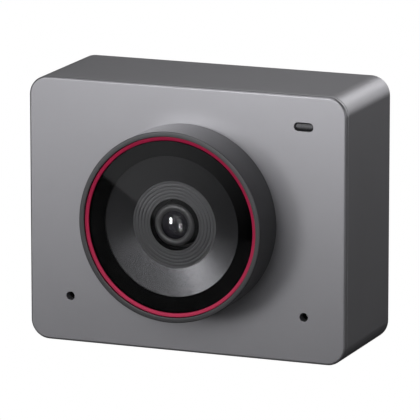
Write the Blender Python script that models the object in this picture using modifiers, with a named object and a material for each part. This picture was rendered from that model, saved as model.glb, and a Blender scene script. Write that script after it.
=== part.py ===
"""Compact box camera: a rounded box housing with a round lens bezel on its front face.

Metres, +Z up.  X runs along the width, -Y is the way the lens looks, and Z = 0 is the
face that the camera stands on.  The origin is the middle of the base of the whole object.
Lengths below are in millimetres and are scaled by MM when geometry is made.
"""

import math

import bmesh
import bpy

MM = 0.001

# ---------------------------------------------------------------- driving dimensions (mm)
BODY_W, BODY_H, BODY_D = 56.0, 44.7, 21.6      # box: width, height, depth
CORNER_R = 3.25                                # corner radius seen from the front
EDGE_R, REAR_R = 0.4, 0.9                      # rounding on the front and rear outlines
BEZEL_OUT = 7.45                               # how far the lens bezel stands out of the face
PANEL_Y = -(BODY_D + BEZEL_OUT) / 2 + BEZEL_OUT  # front face of the box
LENS_Z = BODY_H / 2 + 0.25                     # optical axis, a little above the middle of the face

PANEL_T, RIM_T = 1.5, 0.9                      # front panel, and its rim in front of the sleeve
WALL_T = 1.6                                   # housing sleeve
SEAM = 0.12                                    # visible parting lines
COVER_B0, COVER_B1 = 19.8, 21.5                # rear cover, depth behind the front face

BEZEL_R, BEZEL_RIM_R = 15.95, 15.1             # bezel outside, and inside of its rim
SPIGOT_R, PANEL_HOLE_R = 14.65, 14.75          # bezel spigot through the panel
GLASS_R, MASK_IN_R = 14.36, 11.74              # cover glass and its black border
GLASS_F, RING_F, SEAT_F = 6.92, 6.95, 6.2      # glass front, accent ring front and the seat of the ring
DISH_R, DISH_HOLE_R = 13.2, 4.31               # light baffle behind the glass
FLAT_R, FLAT_F = 7.3, 5.03                     # flat of the baffle round the lens opening
GROOVE_N, GROOVE_PITCH, GROOVE_H = 5, 0.56, 0.07

MIC_X, MIC_Z, MIC_R = 20.75, 7.75, 0.74        # microphone holes
LED_X, LED_Z, LED_W, LED_H = 20.6, 39.48, 3.36, 1.44
CASE_SCREWS = [(-24.3, 3.75), (24.3, 3.75), (-24.3, 40.95), (24.3, 40.95)]
BEZEL_SCREW_R = 13.42
BOARD_POSTS = [(-20.6, 12.4), (20.6, 12.4), (-20.6, 32.3), (20.6, 32.3)]
SENSOR_POSTS = [(-10.9, LENS_Z), (10.9, LENS_Z)]
USB_Z = 12.4
THREAD_R, THREAD_DEPTH = 3.2, 6.15             # tripod thread, shown as a plain bore
TRIPOD_B = 4.0 - PANEL_Y                       # tripod axis, depth behind the front face
FOCUS_TRAVEL = 0.35                            # autofocus travel along the optical axis
CAN_ROOF = 2.35                                # inside of the actuator can, ahead of the front face
CARRIER_F = CAN_ROOF - FOCUS_TRAVEL - 0.4      # front of the lens carrier at rest

BIG, MID, SMALL = 48, 24, 16                   # facets on round pieces


def y_of(b):
    """World Y in millimetres of a depth b behind the front face (negative is in front)."""
    return PANEL_Y + b


# ---------------------------------------------------------------- scene set-up
for old in list(bpy.data.objects):
    bpy.data.objects.remove(old, do_unlink=True)

parts = bpy.data.collections.new("box_camera")
cutters = bpy.data.collections.new("box_camera_cutters")
bpy.context.scene.collection.children.link(parts)
bpy.context.scene.collection.children.link(cutters)


def make_material(name, colour, roughness, metallic, alpha=1.0):
    mat = bpy.data.materials.new(name)
    mat.use_nodes = True
    shader = mat.node_tree.nodes["Principled BSDF"]
    shader.inputs["Base Color"].default_value = (*colour, 1.0)
    shader.inputs["Roughness"].default_value = roughness
    shader.inputs["Metallic"].default_value = metallic
    shader.inputs["Alpha"].default_value = alpha
    mat.diffuse_color = (*colour, alpha)
    return mat


GREY = make_material("satin_grey_aluminium", (0.25, 0.25, 0.26), 0.45, 0.8)
DARK_GREY = make_material("dark_grey_aluminium", (0.06, 0.06, 0.065), 0.4, 0.7)
BLACK = make_material("black_plastic", (0.012, 0.012, 0.013), 0.5, 0.0)
RED = make_material("red_anodised", (0.6, 0.01, 0.05), 0.35, 0.6)
GLASS = make_material("clear_glass", (0.9, 0.92, 0.93), 0.02, 0.0, 0.35)
LENS_GLASS = make_material("coated_lens_glass", (0.35, 0.38, 0.5), 0.02, 0.0, 0.35)
FILTER = make_material("infrared_filter", (0.3, 0.55, 0.75), 0.03, 0.0, 0.35)
BAFFLE = make_material("satin_baffle", (0.12, 0.12, 0.125), 0.35, 0.7)
STEEL = make_material("steel", (0.55, 0.55, 0.56), 0.3, 1.0)
BRASS = make_material("brass", (0.7, 0.5, 0.22), 0.3, 1.0)
COPPER = make_material("copper_wire", (0.65, 0.27, 0.12), 0.35, 1.0)
MAGNET = make_material("nickel_plate", (0.6, 0.58, 0.55), 0.25, 1.0)
BOARD = make_material("circuit_board", (0.01, 0.06, 0.03), 0.5, 0.0)
CHIP = make_material("chip_epoxy", (0.02, 0.02, 0.022), 0.6, 0.0)
SILICON = make_material("sensor_cover", (0.03, 0.04, 0.06), 0.1, 0.2)
RUBBER = make_material("black_rubber", (0.015, 0.015, 0.015), 0.8, 0.0)
PAD = make_material("thermal_silicone", (0.35, 0.36, 0.42), 0.8, 0.0)
ALUMINIUM = make_material("plain_aluminium", (0.6, 0.6, 0.61), 0.35, 1.0)
LED_CLEAR = make_material("light_guide_acrylic", (0.3, 0.3, 0.31), 0.2, 0.0, 0.8)


# ---------------------------------------------------------------- modelling helpers
def finish(obj, mat, cutter=False):
    (cutters if cutter else parts).objects.link(obj)
    if cutter:
        obj.hide_render = True
        obj.display_type = "WIRE"
    elif mat is not None:
        obj.data.materials.append(mat)
    return obj


def from_bmesh(name, bm, mat, location=(0, 0, 0), cutter=False):
    bmesh.ops.recalc_face_normals(bm, faces=bm.faces)
    mesh = bpy.data.meshes.new(name)
    bm.to_mesh(mesh)
    bm.free()
    mesh.shade_smooth()
    mesh.set_sharp_from_angle(angle=math.radians(35))
    obj = bpy.data.objects.new(name, mesh)
    obj.location = [v * MM for v in location]
    return finish(obj, mat, cutter)


def box(name, size, centre, mat=None, corner=0.0, segments=4, front=0.0, rear=0.0, cutter=False):
    """A cube with its four Y edges rounded by corner, and its front and rear outlines by front and rear."""
    bm = bmesh.new()
    bmesh.ops.create_cube(bm, size=1.0)
    bmesh.ops.scale(bm, vec=[v * MM for v in size], verts=bm.verts)
    half = size[1] * MM / 2
    if corner:
        along = [e for e in bm.edges if abs(e.verts[0].co.y - e.verts[1].co.y) > half]
        bmesh.ops.bevel(bm, geom=along, offset=corner * MM, offset_type="OFFSET", segments=segments,
                        profile=0.5, affect="EDGES", clamp_overlap=False)
    for radius, side in ((front, -half), (rear, half)):
        if radius:
            ring = [e for e in bm.edges if all(abs(v.co.y - side) < 1e-9 for v in e.verts)]
            bmesh.ops.bevel(bm, geom=ring, offset=radius * MM, offset_type="OFFSET", segments=3,
                            profile=0.5, affect="EDGES", clamp_overlap=False)
    return from_bmesh(name, bm, mat, centre, cutter)


def rod(name, radius, x, z, b0, b1, mat=None, steps=SMALL, cutter=False, radius2=None):
    """A cylinder or cone along Y between depths b0 and b1, with radius at b0 and radius2 at b1."""
    bm = bmesh.new()
    bmesh.ops.create_cone(bm, cap_ends=True, segments=steps, radius1=radius * MM,
                          radius2=(radius if radius2 is None else radius2) * MM, depth=(b1 - b0) * MM)
    obj = from_bmesh(name, bm, mat, (x, y_of((b0 + b1) / 2), z), cutter)
    obj.rotation_euler = (-math.pi / 2, 0, 0)
    return obj


def turned(name, profile, mat, steps=MID, location=None, upright=False, solid=False, parent=None, cutter=False):
    """A lathe shape.  profile holds (radius, height); height runs forward, or up if upright.
    A ring's profile is a closed loop, and a solid piece's runs from the axis to the axis."""
    loop = list(profile)
    area = sum(a[0] * b[1] - b[0] * a[1] for a, b in zip(loop, loop[1:] + loop[:1]))
    if area > 0:  # the outer side has to run from the top down
        loop.reverse()
    mesh = bpy.data.meshes.new(name)
    count = len(loop)
    edges = [(i, i + 1) for i in range(count - 1)] + ([] if solid else [(count - 1, 0)])
    mesh.from_pydata([(r * MM, 0, h * MM) for r, h in loop], edges, [])
    obj = bpy.data.objects.new(name, mesh)
    screw = obj.modifiers.new("Screw", "SCREW")
    screw.axis = "Z"
    screw.angle = 2 * math.pi
    screw.steps = screw.render_steps = steps
    screw.use_merge_vertices = True
    screw.merge_threshold = 1e-6
    screw.use_smooth_shade = True
    if not upright:
        obj.rotation_euler = (math.pi / 2, 0, 0)
    if parent is not None:
        obj.parent = parent
    else:
        obj.location = [v * MM for v in (location or (0, PANEL_Y, LENS_Z))]
    return finish(obj, mat, cutter)


def outline(name, loops, b0, b1, mat=None, centre=(0.0, 0.0), flat=False, z_span=None, cutter=False):
    """A flat outline with any holes, as a filled 2D curve extruded from depth b0 to b1 and made a mesh.
    loops hold (x, z) points.  With flat, the points are (x, depth) and z_span gives the height."""
    curve = bpy.data.curves.new(name + "_outline", "CURVE")
    curve.dimensions = "2D"
    curve.fill_mode = "BOTH"
    low, high = z_span if flat else (b0, b1)
    curve.extrude = (high - low) / 2 * MM
    for loop in loops:
        spline = curve.splines.new("POLY")
        spline.points.add(len(loop) - 1)
        for point, (u, v) in zip(spline.points, loop):
            point.co = (u * MM, v * MM, 0, 1)
        spline.use_cyclic_u = True
    holder = bpy.data.objects.new(name + "_outline", curve)
    parts.objects.link(holder)
    if flat:
        holder.location = (0, PANEL_Y * MM, (low + high) / 2 * MM)
    else:
        holder.rotation_euler = (math.pi / 2, 0, 0)
        holder.location = (centre[0] * MM, y_of((b0 + b1) / 2) * MM, centre[1] * MM)
    bpy.context.view_layer.update()
    graph = bpy.context.evaluated_depsgraph_get()
    mesh = bpy.data.meshes.new_from_object(holder.evaluated_get(graph))
    mesh.name = name
    bm = bmesh.new()
    bm.from_mesh(mesh)
    bmesh.ops.remove_doubles(bm, verts=bm.verts, dist=1e-7)
    bmesh.ops.recalc_face_normals(bm, faces=bm.faces)
    bm.to_mesh(mesh)
    bm.free()
    mesh.shade_smooth()
    mesh.set_sharp_from_angle(angle=math.radians(35))
    obj = bpy.data.objects.new(name, mesh)
    obj.matrix_world = holder.matrix_world
    bpy.data.objects.remove(holder, do_unlink=True)
    bpy.data.curves.remove(curve)
    mesh.materials.clear()
    return finish(obj, mat, cutter)


def combine(obj, others, operation):
    for other in others:
        mod = obj.modifiers.new(operation.title() + "_" + other.name, "BOOLEAN")
        mod.operation = operation
        mod.solver = "EXACT"
        mod.object = other
    return obj


def cut(obj, *others):
    return combine(obj, others, "DIFFERENCE")


def join(obj, *others):
    return combine(obj, others, "UNION")


def circle(radius, steps, x=0.0, z=0.0):
    return [(x + radius * math.cos(2 * math.pi * k / steps), z + radius * math.sin(2 * math.pi * k / steps))
            for k in range(steps)]


def pill(width, height, steps=6):
    """A stadium outline, longer in x."""
    r, half, loop = height / 2, (width - height) / 2, []
    for cx, start in ((half, -90), (-half, 90)):
        for k in range(steps + 1):
            a = math.radians(start + 180 * k / steps)
            loop.append((cx + r * math.cos(a), r * math.sin(a)))
    return loop


def rectangle(x0, x1, z0, z1):
    return [(x0, z0), (x1, z0), (x1, z1), (x0, z1)]


# ---------------------------------------------------------------- front panel
mid_z = BODY_H / 2
panel = box("front_panel", (BODY_W, RIM_T, BODY_H), (0, y_of(RIM_T / 2), mid_z), GREY,
            corner=CORNER_R, segments=5, front=EDGE_R)
lip_outer = box("panel_lip_outer", (BODY_W - 3.5, 2.2, BODY_H - 3.5), (0, y_of(1.8), mid_z), corner=1.5, cutter=True)
lip_inner = box("panel_lip_inner", (BODY_W - 5.5, 4.0, BODY_H - 5.5), (0, y_of(PANEL_T + 2.0), mid_z),
                corner=0.6, segments=2, cutter=True)
join(panel, lip_outer)
cut(panel, lip_inner)
join(panel, *[rod(f"panel_boss_{i}", 1.45, x, z, 1.2, 6.0, cutter=True) for i, (x, z) in enumerate(CASE_SCREWS)])
cut(panel, *[rod(f"panel_boss_hole_{i}", 0.75, x, z, 2.0, 6.5, cutter=True, steps=12)
             for i, (x, z) in enumerate(CASE_SCREWS)])
cut(panel, rod("panel_lens_hole", PANEL_HOLE_R, 0, LENS_Z, -1.0, 3.0, steps=BIG, cutter=True))
cut(panel, *[rod(f"panel_mic_hole_{i}", MIC_R, s * MIC_X, MIC_Z, -1.0, 3.0, steps=12, cutter=True)
             for i, s in enumerate((-1, 1))])
cut(panel, outline("panel_led_slot", [pill(LED_W, LED_H)], -1.0, 3.0, centre=(LED_X, LED_Z), cutter=True))

# ---------------------------------------------------------------- housing sleeve
sleeve_b0 = RIM_T + SEAM
housing = box("housing", (BODY_W, BODY_D - sleeve_b0, BODY_H), (0, y_of((sleeve_b0 + BODY_D) / 2), mid_z), GREY,
              corner=CORNER_R, segments=5, rear=REAR_R)
bore = (BODY_W - 2 * WALL_T, BODY_H - 2 * WALL_T)
ledge = (BODY_W - 5.0, BODY_H - 5.0)
ledge_b0, ledge_b1 = COVER_B0 - 1.3, COVER_B0 - 0.1
cut(housing,
    box("housing_front_bore", (bore[0], ledge_b0, bore[1]), (0, y_of(ledge_b0 / 2), mid_z),
        corner=CORNER_R - WALL_T, cutter=True),
    box("housing_rear_bore", (bore[0], 4.0, bore[1]), (0, y_of(ledge_b1 + 2.0), mid_z),
        corner=CORNER_R - WALL_T, cutter=True),
    box("housing_ledge_bore", (ledge[0], 6.0, ledge[1]), (0, y_of(COVER_B0 - 0.6), mid_z), corner=0.8, segments=2,
        cutter=True))
tripod_y = y_of(TRIPOD_B)
seat = bmesh.new()
bmesh.ops.create_cone(seat, cap_ends=True, segments=MID, radius1=4.8 * MM, radius2=4.8 * MM, depth=6 * MM)
cut(housing, from_bmesh("housing_tripod_hole", seat, None, (0, tripod_y, 0), cutter=True))

# tripod thread insert, pressed in from inside so that its flange takes the pull
turned("tripod_insert",
       [(0, 7.2), (4.6, 7.2), (4.6, 3.0), (6.4, 3.0), (6.4, 1.7), (4.7, 1.7), (4.7, 0.0), (THREAD_R + 0.35, 0.0),
        (THREAD_R, 0.35), (THREAD_R, THREAD_DEPTH), (0, THREAD_DEPTH)],
       BRASS, steps=MID, location=(0, tripod_y, 0), upright=True, solid=True)

# ---------------------------------------------------------------- rear cover and case screws
cover = box("rear_cover", (BODY_W - 2 * WALL_T - 2 * SEAM, COVER_B1 - COVER_B0, BODY_H - 2 * WALL_T - 2 * SEAM),
            (0, y_of((COVER_B0 + COVER_B1) / 2), mid_z), BLACK, corner=CORNER_R - WALL_T - SEAM)
cut_b0, cut_b1 = COVER_B0 - 0.6, COVER_B1 + 0.7
cut(cover, outline("cover_usb_hole", [pill(9.5, 3.8)], cut_b0, cut_b1, centre=(0, USB_Z), cutter=True))
cut(cover, *[outline(f"cover_vent_{i}", [pill(26.0, 1.3, 4)], cut_b0, cut_b1, centre=(0, 21.4 + 3.0 * i), cutter=True)
             for i in range(6)])
cut(cover, *[turned(f"cover_screw_hole_{i}",
                    [(0, -cut_b0), (0.85, -cut_b0), (0.85, 0.75 - COVER_B1), (1.55, -0.15 - COVER_B1),
                     (0, -0.15 - COVER_B1)],
                    None, steps=12, location=(x, PANEL_Y, z), solid=True, cutter=True)
             for i, (x, z) in enumerate(CASE_SCREWS)])
for i, (x, z) in enumerate(CASE_SCREWS):
    turned(f"case_screw_{i + 1}",
           [(0, -2.5), (0.45, -2.5), (0.68, -2.9), (0.68, 0.75 - COVER_B1), (1.25, 0.1 - COVER_B1), (0, 0.1 - COVER_B1)],
           STEEL, steps=12, location=(x, PANEL_Y, z), solid=True)

# ---------------------------------------------------------------- lens bezel, glass and baffle
turned_bezel = turned(
    "lens_bezel",
    [(BEZEL_RIM_R + 0.1, BEZEL_OUT), (BEZEL_R - 0.18, BEZEL_OUT), (BEZEL_R - 0.05, BEZEL_OUT - 0.05),
     (BEZEL_R, BEZEL_OUT - 0.18), (BEZEL_R, 0.06), (SPIGOT_R, 0.06), (SPIGOT_R, -3.3), (12.2, -3.3), (12.2, 3.55),
     (13.3, 3.55), (13.3, SEAT_F), (BEZEL_RIM_R, SEAT_F), (BEZEL_RIM_R, BEZEL_OUT - 0.1)],
    DARK_GREY, steps=BIG)
screw_angles = [math.radians(a) for a in (90, 210, 330)]
screw_spots = [(BEZEL_SCREW_R * math.cos(a), LENS_Z + BEZEL_SCREW_R * math.sin(a)) for a in screw_angles]
cut(turned_bezel, *[rod(f"bezel_screw_hole_{i}", 0.6, x, z, 0.4, 3.6, steps=12, cutter=True)
                    for i, (x, z) in enumerate(screw_spots)])
turned("accent_ring",
       [(BEZEL_RIM_R - 0.06, SEAT_F + 0.07), (BEZEL_RIM_R - 0.06, RING_F + 0.08), (BEZEL_RIM_R - 0.1, RING_F + 0.12),
        (GLASS_R + 0.06, RING_F), (GLASS_R + 0.06, SEAT_F + 0.07)], RED, steps=BIG)
turned("cover_glass",
       [(0, GLASS_F), (GLASS_R - 0.08, GLASS_F), (GLASS_R, GLASS_F - 0.08), (GLASS_R, GLASS_F - 0.4), (0, GLASS_F - 0.4)],
       GLASS, steps=BIG, solid=True)
turned("glass_mask", [(MASK_IN_R, 6.37), (GLASS_R, 6.37), (GLASS_R, 6.48), (MASK_IN_R, 6.48)], BLACK, steps=BIG)

grooves = []
for k in range(GROOVE_N):  # concentric grooves in the flat round the lens opening
    r = FLAT_R - 0.3 - k * GROOVE_PITCH
    grooves += [(r, FLAT_F), (r - 0.06, FLAT_F - GROOVE_H), (r - 0.12, FLAT_F)]
turned("baffle_dish",
       [(DISH_R, 6.12), (12.3, 6.12), (FLAT_R, FLAT_F)] + grooves
       + [(DISH_HOLE_R + 0.05, FLAT_F), (DISH_HOLE_R, FLAT_F - 0.05), (DISH_HOLE_R, 3.65), (7.7, 3.95), (11.7, 4.8),
          (11.9, 3.65), (DISH_R, 3.65)],
       BAFFLE, steps=36)
turned("dust_gasket", [(5.3, 2.75), (6.5, 2.75), (6.5, 3.66), (5.3, 3.66)], RUBBER, steps=MID)

# ---------------------------------------------------------------- chassis behind the panel
window = 7.8
chassis = outline(
    "chassis",
    [[(-17.4, 3.0), (17.4, 3.0), (17.4, 10.0), (25.1, 10.6), (25.1, 34.1), (17.4, 34.7), (17.4, 41.7), (-17.4, 41.7),
      (-17.4, 34.9), (-25.1, 34.3), (-25.1, 10.4), (-17.4, 9.8)],
     rectangle(-window, window, LENS_Z - window, LENS_Z + window)]
    + [circle(0.65, 12, x, z) for x, z in screw_spots],
    3.45, 4.65, ALUMINIUM)
join(chassis, *[rod(f"chassis_post_{i}", 1.7, x, z, 4.45, 9.3, steps=SMALL, cutter=True)
                for i, (x, z) in enumerate(BOARD_POSTS)])
join(chassis, *[rod(f"chassis_stud_{i}", 1.5, x, z, 4.45, 5.8, steps=SMALL, cutter=True)
                for i, (x, z) in enumerate(SENSOR_POSTS)])
cut(chassis, *[rod(f"chassis_post_hole_{i}", 0.65, x, z, 6.0, 10.0, steps=12, cutter=True)
               for i, (x, z) in enumerate(BOARD_POSTS)])
cut(chassis, *[rod(f"chassis_stud_hole_{i}", 0.65, x, z, 3.0, 6.5, steps=12, cutter=True)
               for i, (x, z) in enumerate(SENSOR_POSTS)])


def pan_screw(name, x, z, head_b, tip_b, head_r, shank_r):
    """A pan-head screw put in from behind: its head's seat is at depth head_b and its tip at tip_b."""
    turned(name, [(0, -tip_b), (shank_r, -tip_b), (shank_r, -head_b), (head_r, -head_b), (head_r, -head_b - 0.4),
                  (head_r * 0.75, -head_b - 0.65), (0, -head_b - 0.65)],
           STEEL, steps=12, location=(x, PANEL_Y, z), solid=True)


for i, (x, z) in enumerate(screw_spots):
    pan_screw(f"bezel_screw_{i + 1}", x, z, 4.7, 0.7, 1.1, 0.52)

# ---------------------------------------------------------------- autofocus actuator, fixed side
can = box("actuator_can", (15.0, 5.25, 15.0), (0, y_of(-0.025), LENS_Z), STEEL, corner=0.8, segments=2)
cut(can, box("can_inside", (14.4, 6.0, 14.4), (0, y_of(3.0 - CAN_ROOF), LENS_Z), corner=0.5, segments=2, cutter=True),
    rod("can_hole", 4.6, 0, LENS_Z, -4.0, 0.0, steps=MID, cutter=True))
base = box("actuator_base", (15.0, 1.0, 15.0), (0, y_of(3.15), LENS_Z), BLACK, corner=0.8, segments=2)
cut(base, rod("base_hole", 4.4, 0, LENS_Z, 2.0, 4.5, steps=MID, cutter=True))
for i, (dx, dz) in enumerate(((6.3, 0), (0, 6.3), (-6.3, 0), (0, -6.3))):
    size = (1.1, 2.4, 5.6) if dx else (5.6, 2.4, 1.1)
    box(f"focus_magnet_{i + 1}", size, (dx, y_of(0.3), LENS_Z + dz), MAGNET, corner=0.15, segments=1)


def leaf_spring(name, b0):
    """A thin flat ring with four arc slots, which leave springy arms between its two rims."""
    loops = [circle(6.95, MID), circle(4.3, MID)]
    for k in range(4):
        arc = [math.radians(90 * k + 8 + 74 * i / 5) for i in range(6)]
        loops.append([(6.3 * math.cos(a), 6.3 * math.sin(a)) for a in arc]
                     + [(5.0 * math.cos(a), 5.0 * math.sin(a)) for a in reversed(arc)])
    outline(name, loops, b0, b0 + 0.1, COPPER, centre=(0, LENS_Z))


leaf_spring("focus_spring_front", -CAN_ROOF + 0.13)
leaf_spring("focus_spring_rear", 2.2)

# ---------------------------------------------------------------- autofocus, moving side
focus_axis = bpy.data.objects.new("focus_axis", None)
focus_axis.location = (0, PANEL_Y * MM, LENS_Z * MM)
parts.objects.link(focus_axis)
turned("lens_carrier", [(4.05, CARRIER_F), (4.7, CARRIER_F), (4.7, -2.0), (4.05, -2.0)], BLACK, parent=focus_axis)
turned("focus_coil", [(4.78, 1.0), (5.45, 1.0), (5.45, -1.6), (4.78, -1.6)], COPPER, parent=focus_axis)
turned("lens_barrel",
       [(2.36, 4.9), (2.48, 5.08), (2.68, 5.21), (2.9, 5.25), (3.12, 5.21), (3.34, 5.08), (3.5, 4.88), (3.5, 2.0), (3.95, 2.0),
        (3.95, -2.1), (3.0, -2.1), (3.0, 2.3), (2.36, 2.3)],
       BLACK, parent=focus_axis)
turned("front_lens",
       [(0, 5.5), (0.6, 5.45), (1.2, 5.31), (1.8, 5.05), (2.3, 4.72), (2.3, 4.28), (1.6, 3.92), (0.8, 3.68), (0, 3.6)],
       LENS_GLASS, parent=focus_axis, solid=True)
turned("lens_element_2",
       [(0, 2.1), (1.5, 1.95), (2.9, 1.5), (2.9, 0.9), (1.5, 1.15), (0, 1.25)], LENS_GLASS, parent=focus_axis, solid=True)
turned("lens_element_3",
       [(0, 0.35), (1.5, 0.2), (2.9, 0.45), (2.9, -0.55), (1.5, -0.9), (0, -0.7)], LENS_GLASS, parent=focus_axis,
       solid=True)
turned("lens_retainer", [(2.3, -1.1), (2.9, -1.1), (2.9, -1.9), (2.3, -1.9)], BLACK, parent=focus_axis)

# ---------------------------------------------------------------- image sensor stack
holder = box("sensor_holder", (15.0, 2.15, 15.0), (0, y_of(4.775), LENS_Z), BLACK, corner=0.8, segments=2)
cut(holder, box("holder_window", (9.6, 5.0, 7.6), (0, y_of(5.0), LENS_Z), cutter=True),
    box("holder_pocket", (10.8, 2.0, 8.8), (0, y_of(3.3), LENS_Z), cutter=True))
box("ir_filter", (10.6, 0.4, 8.6), (0, y_of(4.05), LENS_Z), FILTER)
box("image_sensor", (9.2, 0.8, 7.2), (0, y_of(5.4), LENS_Z), SILICON)
outline("sensor_board",
        [rectangle(-12.5, 12.5, LENS_Z - 8.5, LENS_Z + 8.5)] + [circle(0.75, 12, x, z) for x, z in SENSOR_POSTS],
        5.9, 6.7, BOARD)
for i, (x, z) in enumerate(SENSOR_POSTS):
    pan_screw(f"sensor_screw_{i + 1}", x, z, 6.75, 3.8, 1.2, 0.55)
box("connector_plug", (12.0, 1.25, 3.0), (0, y_of(7.375), 16.4), BLACK)
box("connector_socket", (12.0, 1.25, 3.0), (0, y_of(8.7), 16.4), BLACK)

# ---------------------------------------------------------------- main board, chips, heat sink
outline("main_board",
        [rectangle(-22.8, 22.8, 9.3, 41.1)] + [circle(0.75, 12, x, z) for x, z in BOARD_POSTS], 9.4, 10.4, BOARD)
for i, (x, z) in enumerate(BOARD_POSTS):
    pan_screw(f"board_screw_{i + 1}", x, z, 10.45, 7.0, 1.3, 0.55)
box("processor", (13.0, 1.15, 13.0), (0, y_of(11.05), 28.0), CHIP, corner=0.3, segments=1)
box("memory_chip", (9.0, 0.9, 7.0), (-14.0, y_of(10.95), 17.5), CHIP, corner=0.2, segments=1)
box("thermal_pad", (13.0, 0.65, 13.0), (0, y_of(12.0), 28.0), PAD)
FIN_N, FIN_T, SINK_HALF = 9, 1.0, 17.0
comb = [(-SINK_HALF, 12.4), (SINK_HALF, 12.4)]
pitch = (2 * SINK_HALF - FIN_T) / (FIN_N - 1)
for k in range(FIN_N):  # fins from right to left, standing on a plate 1.4 thick
    right = SINK_HALF - k * pitch
    if k:
        comb.append((right, 13.8))
    comb += [(right, 18.4), (right - FIN_T, 18.4)]
    if k < FIN_N - 1:
        comb.append((right - FIN_T, 13.8))
outline("heat_sink", [comb], 0, 0, ALUMINIUM, flat=True, z_span=(18.6, 37.6))

# ---------------------------------------------------------------- USB-C socket
usb = outline("usb_shell", [pill(9.0, 3.3, 8)], 10.45, COVER_B1 - 0.15, STEEL, centre=(0, USB_Z))
cut(usb, outline("usb_cavity", [pill(8.4, 2.7, 8)], 11.2, COVER_B1 + 0.7, centre=(0, USB_Z), cutter=True))
box("usb_tongue", (6.7, 9.4, 0.7), (0, y_of(15.95), USB_Z), BLACK)

# ---------------------------------------------------------------- status light and microphones
guide = outline("light_guide", [pill(LED_W - 0.14, LED_H - 0.14)], 0.2, 8.6, LED_CLEAR, centre=(LED_X, LED_Z))
join(guide, outline("guide_flange", [pill(3.9, 2.2)], 1.58, 2.4, centre=(LED_X, LED_Z), cutter=True))
box("status_led", (1.6, 0.6, 0.8), (LED_X, y_of(9.05), LED_Z), LED_CLEAR)
for side, s in (("left", -1), ("right", 1)):
    boot = rod(f"mic_boot_{side}", 1.9, s * MIC_X, MIC_Z, 1.56, 2.4, RUBBER, steps=SMALL)
    cut(boot, rod(f"boot_hole_{side}", 0.5, s * MIC_X, MIC_Z, 1.0, 3.0, steps=12, cutter=True))
    box(f"microphone_{side}", (3.5, 1.0, 2.7), (s * MIC_X, y_of(2.95), MIC_Z), STEEL, corner=0.2, segments=1)
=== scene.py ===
import math

import bmesh
import bpy
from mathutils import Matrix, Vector


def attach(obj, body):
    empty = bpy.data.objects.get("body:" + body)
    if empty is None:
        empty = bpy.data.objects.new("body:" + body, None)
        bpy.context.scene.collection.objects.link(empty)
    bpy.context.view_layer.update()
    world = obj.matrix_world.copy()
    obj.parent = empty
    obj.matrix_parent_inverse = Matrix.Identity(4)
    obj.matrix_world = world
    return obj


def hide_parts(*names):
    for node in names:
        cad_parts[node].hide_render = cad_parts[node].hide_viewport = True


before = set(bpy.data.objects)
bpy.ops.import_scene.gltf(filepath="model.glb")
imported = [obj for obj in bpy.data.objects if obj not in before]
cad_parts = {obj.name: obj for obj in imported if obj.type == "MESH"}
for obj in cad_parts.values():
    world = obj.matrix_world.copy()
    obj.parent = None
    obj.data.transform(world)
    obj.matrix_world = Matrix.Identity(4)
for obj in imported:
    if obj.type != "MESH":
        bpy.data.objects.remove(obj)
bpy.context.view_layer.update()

# ------------------------------------------------------------------ shared sizes, in millimetres as in the CAD
MM = 0.001
BODY_W, BODY_H, BODY_D = 56.0, 44.7, 21.6
CORNER_R, EDGE_R, REAR_R = 3.25, 0.4, 0.9
BEZEL_OUT = 7.45
PANEL_Y = -(BODY_D + BEZEL_OUT) / 2 + BEZEL_OUT
MID_Z = BODY_H / 2
LENS_Z = MID_Z + 0.25
COVER_B0, COVER_B1 = 19.8, 21.5
LED_X, LED_Z, LED_W, LED_H = 20.6, 39.48, 3.36, 1.44
MIC_X, MIC_Z, MIC_R = 20.75, 7.75, 0.73
USB_Z = 12.4
CASE_SCREWS = [(-24.3, 3.75), (24.3, 3.75), (-24.3, 40.95), (24.3, 40.95)]
BODY, FOCUS = "camera_body", "focus_group"
scene = bpy.context.scene


# ------------------------------------------------------------------ outlines and profiles
def arc(cx, cy, r, a0, a1, n):
    return [(cx + r * math.cos(math.radians(a0 + (a1 - a0) * k / n)),
             cy + r * math.sin(math.radians(a0 + (a1 - a0) * k / n))) for k in range(n + 1)]


def rounded(points, n=5, closed=True):
    """A polyline whose corners are filleted.  Each point is (u, v) or (u, v, radius)."""
    out, count = [], len(points)
    for i, p in enumerate(points):
        radius = p[2] if len(p) > 2 else 0.0
        if not radius or (not closed and i in (0, count - 1)):
            out.append((p[0], p[1]))
            continue
        here = Vector((p[0], p[1]))
        before = Vector(points[i - 1][:2]) - here
        after = Vector(points[(i + 1) % count][:2]) - here
        a, b = before.normalized(), after.normalized()
        half = math.acos(max(-1.0, min(1.0, a.dot(b)))) / 2
        reach = radius / math.tan(half)
        start, stop = here + a * reach, here + b * reach
        middle = here + (a + b).normalized() * (radius / math.sin(half))
        t0 = math.atan2(start.y - middle.y, start.x - middle.x)
        t1 = math.atan2(stop.y - middle.y, stop.x - middle.x)
        turn = (t1 - t0 + math.pi) % (2 * math.pi) - math.pi
        out += [(middle.x + radius * math.cos(t0 + turn * k / n), middle.y + radius * math.sin(t0 + turn * k / n))
                for k in range(n + 1)]
    return out


def rrect(w, h, r, n=12):
    """A rectangle with round corners, about its middle."""
    r = max(r, 0.05)
    x, z = w / 2 - r, h / 2 - r
    return arc(x, z, r, 0, 90, n) + arc(-x, z, r, 90, 180, n) + arc(-x, -z, r, 180, 270, n) + arc(x, -z, r, 270, 360, n)


def pill(w, h, n=14):
    r, half = h / 2, (w - h) / 2
    return arc(half, 0, r, -90, 90, n) + arc(-half, 0, r, 90, 270, n)


def at_depth(loop, b, cx=0.0, cz=MID_Z):
    """An (x, z) outline put at depth b behind the front face."""
    return [(cx + u, PANEL_Y + b, cz + v) for u, v in loop]


def body_ring(inset, b):
    return at_depth(rrect(BODY_W - 2 * inset, BODY_H - 2 * inset, max(CORNER_R - inset, 0.3)), b)


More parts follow.
